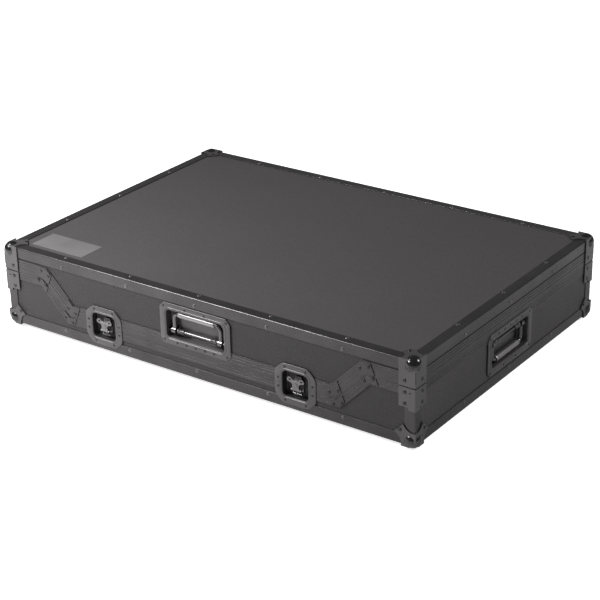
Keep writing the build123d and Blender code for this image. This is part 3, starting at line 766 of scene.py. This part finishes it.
# %% [markdown]
# ## Butterfly wings
#
# The wing is stamped from 1.8 mm steel: two ears with a hole in each, shoulders that narrow into
# a waist, and a foot that is rolled round the cam's cross pin. A filled curve gives the stamped
# outline, and its bevel gives the rolled edge of a part that has been tumbled. The boss in the
# middle is two stepped discs with a raised ring round them. The photograph also shows a bright
# lip at the foot of each well, which is a short polished bar here.

# %%
WING_THICK = 1.8 * MM
WING_PIVOT = -8.5 * MM
WING_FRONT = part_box("front_left_latch_wing")[0][1] + Y_OUT
WING_HOLE = 1.9 * MM
PIVOT_DEPTH = 2.2 * MM
KNUCKLE = (4.8, 9.6)
KNUCKLE_RADIUS = 2.1 * MM
BOSS_HEIGHT = 0.5 * MM
LIP_DEPTH = 6 * MM
LIP_HEIGHT = -17 * MM
BOSS_STEPS = ((4.3 * MM, 0.5 * MM), (2.4 * MM, 0.9 * MM))
BOSS_RING = (4.3 * MM, 0.8 * MM)
LIP_HALF = 9 * MM
LIP_RADIUS = 1.4 * MM
CORNER_ROUND = 2.4 * MM
TUMBLED_EDGE = 0.3 * MM
EAR = (11.6, 9.6)
RIGHT_SIDE = (
    (9.5, -9.0),
    (6.6, -4.5),
    (6.4, 1.0),
    (8.2, 4.0),
    (16.6, 6.0),
    (17.5, 9.0),
    (15.2, 13.8),
    (9.0, 13.6),
    (6.6, 10.6),
    (4.0, 9.6),
)


def closed_curve(data, points, round_by):
    """Adds a closed curve through corners, each pulled round by its own length."""
    spline = data.splines.new("BEZIER")
    spline.bezier_points.add(2 * len(points) - 1)
    spline.use_cyclic_u = True
    for index, corner in enumerate(points):
        corner = Vector((*corner, 0))
        before = Vector((*points[index - 1], 0)) - corner
        after = Vector((*points[(index + 1) % len(points)], 0)) - corner
        for offset, run in ((0, before), (1, after)):
            reach = min(round_by, run.length * 0.45)
            knot = spline.bezier_points[2 * index + offset]
            knot.co = corner + run.normalized() * reach
            inner = corner + run.normalized() * reach * 0.45
            outer = knot.co
            knot.handle_left_type = knot.handle_right_type = "FREE"
            knot.handle_left = outer if offset == 0 else inner
            knot.handle_right = inner if offset == 0 else outer


def stamped(outline, holes):
    """The wing's flat stamping in X and Z, its front at depth 0, with round holes."""
    thick, edge = WING_THICK, TUMBLED_EDGE
    data = bpy.data.curves.new("wing", "CURVE")
    data.dimensions = "2D"
    data.fill_mode = "BOTH"
    data.extrude = thick / 2 - edge
    data.bevel_depth = edge
    data.bevel_resolution = 2
    data.offset = -edge
    closed_curve(data, outline, CORNER_ROUND)
    reach = WING_HOLE
    for x, z in holes:
        square = ((1, 1), (-1, 1), (-1, -1), (1, -1))
        closed_curve(data, [(x + reach * a, z + reach * b) for a, b in square], reach)
    carrier = bpy.data.objects.new("wing", data)
    bpy.context.scene.collection.objects.link(carrier)
    ready = carrier.evaluated_get(bpy.context.evaluated_depsgraph_get())
    mesh = bpy.data.meshes.new_from_object(ready)
    bpy.data.objects.remove(carrier)
    mesh.transform(Matrix.Translation((0, thick / 2, 0)) @ Matrix.Rotation(pi / 2, 4, "X"))
    return mesh


def add_ring(bm, radius, thick, place, around=40, across=8):
    """Adds a round ring about the Z axis of a place."""
    loops = []
    for step in range(around):
        turn = 2 * pi * step / around
        spoke = Vector((cos(turn), sin(turn), 0))
        loop = []
        for part in range(across):
            roll = 2 * pi * part / across
            point = spoke * (radius + thick * cos(roll)) + Vector((0, 0, thick * sin(roll)))
            loop.append(bm.verts.new(place @ point))
        loops.append(loop)
    join_loops(bm, loops + loops[:1])


def wing_mesh():
    """The butterfly wing with its boss, and its foot rolled round the pin in two knuckles."""
    right = [(x * MM, z * MM) for x, z in RIGHT_SIDE]
    outline = right + [(-x, z) for x, z in reversed(right)]
    holes = [(side * EAR[0] * MM, EAR[1] * MM) for side in (-1, 1)]
    bm = bmesh.new()
    bm.from_mesh(stamped(outline, holes))
    for side in (-1, 1):
        ends = [Vector((side * x * MM, PIVOT_DEPTH, WING_PIVOT)) for x in KNUCKLE]
        add_rod(bm, *ends, KNUCKLE_RADIUS, 28)
    for radius, proud in BOSS_STEPS:
        ends = [Vector((0, depth, BOSS_HEIGHT)) for depth in (WING_THICK / 2, -proud)]
        add_rod(bm, *ends, radius, 32)
    facing = Matrix.Translation((0, 0, BOSS_HEIGHT)) @ Matrix.Rotation(pi / 2, 4, "X")
    add_ring(bm, *BOSS_RING, facing)
    return mesh_from(bm, "wing")


for name, place in LATCHES.items():
    node = f"{name}_latch_wing"
    mesh = wing_mesh()
    mesh.transform(place @ Matrix.Translation((0, WING_FRONT, 0)))
    keep(f"{node}_stamped", mesh, latch_zinc, body_of[node], slot_of[node], node)
bm = bmesh.new()
for place in LATCHES.values():
    ends = [place @ Vector((side * LIP_HALF, LIP_DEPTH, LIP_HEIGHT)) for side in (-1, 1)]
    add_rod(bm, *ends, LIP_RADIUS, 20)
keep("latch_lower_lips", mesh_from(bm, "lips"), polished, "base", "latch_steel")
print("four wings, front at depth", round(WING_FRONT / MM, 2), "mm")

# %% [markdown]
# ## Handle dishes
#
# The handle's dish is a wider plate with small cut corners. A raised bead runs round its well to
# stiffen the plate. The front one has rivets in its corners and in the strips over and under the
# well, and the end ones have the same set upside down.

# %%
HANDLE_PLATE = (152 * MM, 78 * MM)
HANDLE_WELL = (125 * MM, 52 * MM)
HANDLE_DEPTH = 14 * MM
HANDLE_BEAD = (4.8 * MM, 2.2 * MM, 0.6 * MM)
HANDLE_CUT = 9 * MM
HANDLE_ROUND = 5 * MM
HANDLE_CORNER = 7 * MM
HANDLE_CORNERS = [(x * MM, z * MM) for x in (-68, 68) for z in (-32, 32)]
UPPER_STRIP = [(x * MM, 33.2 * MM) for x in (-21, 21)]
LOWER_STRIP = [(x * MM, -33 * MM) for x in (-40, -20, 0, 20, 40)]


def handle_dish(place):
    """One handle's pressed dish."""
    bm = bmesh.new()
    outside = (HANDLE_PLATE, HANDLE_CUT, HANDLE_ROUND)
    inside = (HANDLE_WELL, HANDLE_CORNER, HANDLE_DEPTH)
    skin(bm, place, dish_rings(*outside, *inside, HANDLE_BEAD))
    return bm


node = "front_handle_dish"
mesh = mesh_from(handle_dish(FRONT_HANDLE), node)
keep(f"{node}_pressed", mesh, zinc, "lid", slot_of[node], node)
node = "side_handle_dishes"
bm = handle_dish(END_HANDLES["left"])
bm.from_mesh(mesh_from(handle_dish(END_HANDLES["right"]), "right dish"))
keep(f"{node}_pressed", mesh_from(bm, node), zinc, "base", slot_of[node], node)
spots = HANDLE_CORNERS + UPPER_STRIP + LOWER_STRIP
rivet_heads("front_handle_rivets", "lid", face_spots(FRONT_HANDLE, spots), SMALL_HEAD)
ends = []
for place in END_HANDLES.values():
    ends += face_spots(place @ upside_down, spots)
rivet_heads("end_handle_rivets", "base", ends, SMALL_HEAD)
print("three handle dishes")

# %% [markdown]
# ## Bails, grips and springs
#
# The bail is an 8 mm steel rod bent into a U, with an eye forged on each end for the pivot rod.
# A moulded sleeve covers its straight run. Two coil springs on the pivot rod pull the bail back
# into its dish. The rod is a swept circle with true round bends. The spring is a helix with its
# first end run back to the dish. The sleeve has faint ribs, 4 mm apart, and rolled ends.

# %%
PIVOT = -14 * MM
GRIP_HEIGHT = PIVOT + 32 * MM
AXIS_DEPTH = 7 * MM
BAIL_HALF = 50 * MM
BAIL_RADIUS = 4 * MM
BEND = 10 * MM
EYE = (6.1 * MM, 9 * MM)
GRIP = (6 * MM, 78 * MM)
SPRING_WIRE = 0.75 * MM
SPRING_RADIUS = 3.7 * MM
SPRING_TURNS = 7
SPRING_PITCH = 2.1 * MM
SPRING_POINTS = 14
SPRING_END = (4.5 * MM, 7 * MM)
SPRING_START = 43 * MM
BEND_POINTS = 12
EYE_ROUND = (1 * MM, 0.5 * MM)
GRIP_ROWS, GRIP_POINTS = 40, 28
GRIP_ROLL = 1.2 * MM
GRIP_DROP = 0.5 * MM
RIB_PITCH, RIB_DEPTH = 4 * MM, 0.12 * MM


def cap(bm, loops):
    """Joins loops into a closed round piece with flat ends."""
    join_loops(bm, loops)
    bm.faces.new(loops[0])
    bm.faces.new(loops[-1])


def tube(bm, points, radius, around=20, place=Matrix.Identity(4)):
    """Adds a round tube along a path of points, capped at its ends."""
    loops = []
    side = Vector((0, 1, 0))
    for index, point in enumerate(points):
        before = points[max(index - 1, 0)]
        after = points[min(index + 1, len(points) - 1)]
        ahead = (after - before).normalized()
        side = (side - ahead * side.dot(ahead)).normalized()
        up = ahead.cross(side)
        turns = [2 * pi * step / around for step in range(around)]
        spokes = [point + (side * cos(turn) + up * sin(turn)) * radius for turn in turns]
        loops.append([bm.verts.new(place @ spoke) for spoke in spokes])
    cap(bm, loops)


def bail_path():
    """The middle of the bent rod, up one side, over and down the other."""
    half = [Vector((BAIL_HALF, AXIS_DEPTH, PIVOT))]
    for step in range(BEND_POINTS + 1):
        turn = radians(90 * step / BEND_POINTS)
        x = BAIL_HALF - BEND + BEND * cos(turn)
        half.append(Vector((x, AXIS_DEPTH, GRIP_HEIGHT - BEND + BEND * sin(turn))))
    return half + [Vector((-p.x, p.y, p.z)) for p in reversed(half)]


def bail_mesh(place):
    """The rod with its two eyes."""
    bm = bmesh.new()
    tube(bm, bail_path(), BAIL_RADIUS, 24, place)
    radius, length = EYE
    shorter, thinner = EYE_ROUND
    for side in (-1, 1):
        for wide, shrink in ((length - shorter, 0), (length, thinner)):
            reaches = [side * BAIL_HALF + end * wide / 2 for end in (-1, 1)]
            ends = [Vector((x, AXIS_DEPTH, PIVOT)) for x in reaches]
            tube(bm, ends, radius - shrink, 28, place)
    return mesh_from(bm, "bail")


def grip_mesh(place):
    """The sleeve, with faint ribs and rolled ends."""
    radius, length = GRIP
    bm = bmesh.new()
    loops = []
    for row in range(GRIP_ROWS + 1):
        along = length * (row / GRIP_ROWS - 0.5)
        end = min(length / 2 - abs(along), GRIP_ROLL) / GRIP_ROLL
        wave = 1 + cos(2 * pi * along / RIB_PITCH)
        size = radius - GRIP_DROP * (1 - end) - RIB_DEPTH * wave
        loop = []
        for step in range(GRIP_POINTS):
            turn = 2 * pi * step / GRIP_POINTS
            point = (along, AXIS_DEPTH + size * cos(turn), GRIP_HEIGHT + size * sin(turn))
            loop.append(bm.verts.new(place @ Vector(point)))
        loops.append(loop)
    cap(bm, loops)
    return mesh_from(bm, "grip")


def spring_path(start, direction):
    """A helix round the pivot rod, its first end run back to the dish."""
    back, rise = SPRING_END
    radius = SPRING_RADIUS
    points = [Vector((start, AXIS_DEPTH + back, PIVOT + rise))]
    for step in range(SPRING_POINTS * SPRING_TURNS + 1):
        turn = 2 * pi * step / SPRING_POINTS
        x = start + direction * SPRING_PITCH * step / SPRING_POINTS
        points.append(Vector((x, AXIS_DEPTH + radius * cos(turn), PIVOT + radius * sin(turn))))
    return points


print("least gap between turns:", round((SPRING_PITCH - 2 * SPRING_WIRE) / MM, 2), "mm")

HANDLES = {
    "front": (FRONT_HANDLE, "lid"),
    "left": (END_HANDLES["left"] @ upside_down, "base"),
    "right": (END_HANDLES["right"] @ upside_down, "base"),
}
for name, (place, carrier) in HANDLES.items():
    node = f"{name}_handle_bail"
    keep(f"{node}_bent", bail_mesh(place), polished, body_of[node], slot_of[node], node)
    node = f"{name}_handle_grip"
    keep(f"{node}_sleeve", grip_mesh(place), grip_satin, body_of[node], slot_of[node], node)
    bm = bmesh.new()
    for side in (-1, 1):
        tube(bm, spring_path(side * SPRING_START, -side), SPRING_WIRE, 8, place)
    keep(f"{name}_handle_springs", mesh_from(bm, "springs"), latch_zinc, carrier, "handle_steel")
print("three handles")

# %% [markdown]
# ## Foam lining
#
# The inside is lined with closed cell foam: a pad on the floor, rails along the walls and a pad
# under the lid. Foam is cut with a blade and its edges give a little, so each pad is a block as
# big as its solid, with generously rounded edges. Its faces stay flat, as the board's are.

# %%
FOAM_ROUND = 3 * MM


def pad(name, node, body):
    """Each solid of a foam node as a block with softly rounded edges."""
    bm = bmesh.new()
    for points in loose_parts(frame["nodes"][node].data):
        low = Vector(min(point[axis] for point in points) for axis in range(3))
        high = Vector(max(point[axis] for point in points) for axis in range(3))
        place = Matrix.Translation((low + high) / 2) @ Matrix.Diagonal((*(high - low), 1))
        bmesh.ops.create_cube(bm, size=1, matrix=place)
    piece = keep(name, mesh_from(bm, name), foam, body, "foam", node)
    soften(piece, FOAM_ROUND, 4)


pad("floor_foam_pad", "base_foam_floor", "base")
pad("wall_foam_rails", "base_foam_rails", "base")
pad("lid_foam_pad", "lid_foam", "lid")
print("foam lining")

# %% [markdown]
# ## Bare plate
#
# A thin grey plate is fixed near the front left corner of the lid. It is built up from three
# outlines with round corners, the last one a little smaller, so that its rim catches the light.
# It is left bare.

# %%
PLATE_X = (-402 * MM, -282 * MM)
PLATE_Y = (-273 * MM, -216 * MM)
PLATE_CORNER = 2 * MM
PLATE_STEPS = ((0, 0), (0.4 * MM, 0), (0.6 * MM, -0.2 * MM))
bm = bmesh.new()
size = Vector((PLATE_X[1] - PLATE_X[0], PLATE_Y[1] - PLATE_Y[0]))
centre = Vector((sum(PLATE_X) / 2, sum(PLATE_Y) / 2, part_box("lid_top_panel")[1][2]))
loops = []
for rise, grow in PLATE_STEPS:
    corners = ring(size.x + grow, size.y + grow, PLATE_CORNER)
    loops.append([bm.verts.new(centre + Vector((x, y, rise))) for x, y in corners])
join_loops(bm, loops)
bm.faces.new(loops[-1])
keep("bare_plate", mesh_from(bm, "bare plate"), brushed, "lid", "extrusion")
print("bare plate", [round(v / MM) for v in size], "mm")

# %% [markdown]
# ## Floor, light and camera
#
# The photograph is a product shot on pure white. Its top is brightest at the front left, so one
# soft lamp hangs over that corner. A second stands farther out at the front left, and a third at
# the back right for the visible end. The floor glows for the camera alone, so it looks white and
# still keeps a pale shadow. The camera stands where the photograph's straight edges say it stood.

# %%
AZIMUTH, ELEVATION, ROLL = 35.82, 24.53, -1.26
TARGET = Vector((0.05676, -0.07665, 0.08421))
DISTANCE = 3.0633
LENS = 102.84
SENSOR = 36
FLOOR_GLOW = 0.8
ROOM_LIGHT = 0.18

bm = bmesh.new()
bmesh.ops.create_grid(bm, x_segments=1, y_segments=1, size=12)
floor_mesh = mesh_from(bm, "floor")
floor_finish, tree, shader = new_finish("pale studio floor", IOR=1.3)
shader.inputs["Base Color"].default_value = linear("#f4f4f4")
rays = add_node(tree, "ShaderNodeLightPath")
glow = add_node(tree, "ShaderNodeEmission", {"Color": (1, 1, 1, 1)})
seen = rays.outputs["Is Camera Ray"]
speck = noise(tree, place_in_mm(tree), 30)
tree.links.new(ramp(tree, speck, 0.88, 0.92), shader.inputs["Roughness"])
mixed = add_node(tree, "ShaderNodeAddShader", {0: shader.outputs[0]})
share = add_node(tree, "ShaderNodeMath", {0: seen, 1: FLOOR_GLOW}, operation="MULTIPLY")
tree.links.new(share.outputs[0], glow.inputs["Strength"])
tree.links.new(glow.outputs[0], mixed.inputs[1])
tree.links.new(mixed.outputs[0], tree.nodes["Material Output"].inputs[0])
floor_mesh.materials.append(floor_finish)
floor = bpy.data.objects.new("floor", floor_mesh)
bpy.context.scene.collection.objects.link(floor)

world = bpy.data.worlds.new("white studio")
bpy.context.scene.world = world
world.use_nodes = True
tree = world.node_tree
tree.nodes.clear()
rays = add_node(tree, "ShaderNodeLightPath")
white = add_node(tree, "ShaderNodeBackground", {"Color": (1, 1, 1, 1), "Strength": 1.0})
soft = add_node(tree, "ShaderNodeBackground", {"Color": (1, 1, 1, 1), "Strength": ROOM_LIGHT})
seen = rays.outputs["Is Camera Ray"]
either = add_node(tree, "ShaderNodeMixShader", {0: seen, 1: soft.outputs[0]})
tree.links.new(white.outputs[0], either.inputs[2])
add_node(tree, "ShaderNodeOutputWorld", {"Surface": either.outputs[0]})


def lamp(name, spot, aim, size, power):
    """A soft rectangular lamp that looks at a point."""
    data = bpy.data.lights.new(name, "AREA")
    data.shape = "RECTANGLE"
    data.size, data.size_y = size
    data.energy = power
    light = bpy.data.objects.new(name, data)
    light.location = spot
    light.rotation_euler = (Vector(aim) - Vector(spot)).to_track_quat("-Z", "Y").to_euler()
    bpy.context.scene.collection.objects.link(light)


lamp("overhead softbox", (-0.66, -0.8, 1.0), (-0.28, -0.2, 0.1), (0.6, 0.5), 23)
lamp("left window", (-1.3, -1.75, 1.6), (0.1, -0.2, 0.1), (0.55, 0.55), 23)
lamp("right window", (1.9, 0.8, 1.5), (0.3, 0, 0.08), (0.5, 0.5), 22)

camera_data = bpy.data.cameras.new("camera")
camera_data.lens = LENS
camera_data.sensor_width = SENSOR
camera = bpy.data.objects.new("camera", camera_data)
turn, lift, roll = radians(AZIMUTH), radians(ELEVATION), radians(ROLL)
back = Vector((sin(turn) * cos(lift), -cos(turn) * cos(lift), sin(lift)))
right = (-back).cross(Vector((0, 0, 1))).normalized()
up = right.cross(-back)
leaning_right = right * cos(roll) + up * sin(roll)
leaning_up = up * cos(roll) - right * sin(roll)
axes = Matrix((leaning_right, leaning_up, back)).transposed().to_4x4()
camera.matrix_world = Matrix.Translation(TARGET + back * DISTANCE) @ axes
bpy.context.scene.collection.objects.link(camera)
bpy.context.scene.camera = camera
bpy.context.scene.view_settings.view_transform = "Standard"
print("camera at", [round(v, 2) for v in camera.matrix_world.translation])
